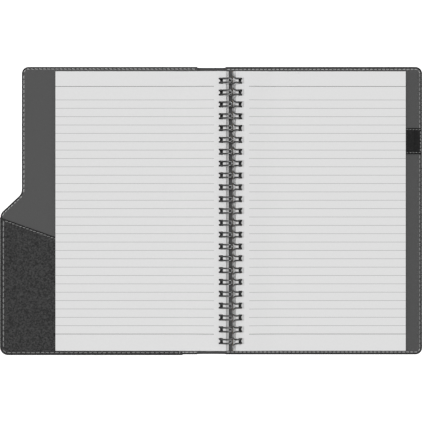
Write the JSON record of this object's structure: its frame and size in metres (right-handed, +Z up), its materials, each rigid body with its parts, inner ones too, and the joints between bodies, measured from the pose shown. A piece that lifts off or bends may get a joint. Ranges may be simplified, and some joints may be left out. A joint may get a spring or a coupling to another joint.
{
  "type": "spiral notebook",
  "caption": "Wire-bound notebook lying open in a stitched folio cover, which has a stepped edge, a sewn pocket and a flat pen loop.",
  "frame": {"origin": "on the table, straight below the middle of the binding's axis", "axes": "+X towards the right-hand sheets, +Y along the binding towards the top of the sheets, +Z up from the table"},
  "size_m": [0.302, 0.2056, 0.0191],
  "materials": {
    "cover_skin": "fine grained, dull",
    "lining": "smooth, matte",
    "pocket_skin": "grained, dull",
    "band": "flat woven, matte",
    "card": "plain card, matte",
    "paper": "ruled paper, matte",
    "wire": "black coated, satin"
  },
  "bodies": {
    "back": {"back_cover": "cover_skin", "back_lining": "lining", "pen_loop": "band", "back_card": "card", "right_pages": "paper", "binding_wire": "wire"},
    "spine": {"spine": "cover_skin", "spine_lining": "lining"},
    "front": {"front_cover": "cover_skin", "front_lining": "lining", "pocket": "pocket_skin"},
    "turned_pages": {"left_pages": "paper"}
  },
  "joints": [
    {"name": "pages_turn", "type": "hinge", "parent": "back", "child": "turned_pages", "pos_m": [0, 0, 0.01105], "axis": [0, 1, 0], "range_deg": [0, 180]},
    {"name": "spine_fold", "type": "hinge", "parent": "back", "child": "spine", "pos_m": [-0.0072, 0, 0.0027], "axis": [0, 1, 0], "range_deg": [0, 90]},
    {"name": "cover_fold", "type": "hinge", "parent": "spine", "child": "front", "pos_m": [-0.0239, 0, 0.0027], "axis": [0, 1, 0], "range_deg": [0, 90]}
  ],
  "couplings": [
    {"joint": "spine_fold", "follows": "pages_turn", "ratio": 0.5},
    {"joint": "cover_fold", "follows": "pages_turn", "ratio": 0.5}
  ]
}
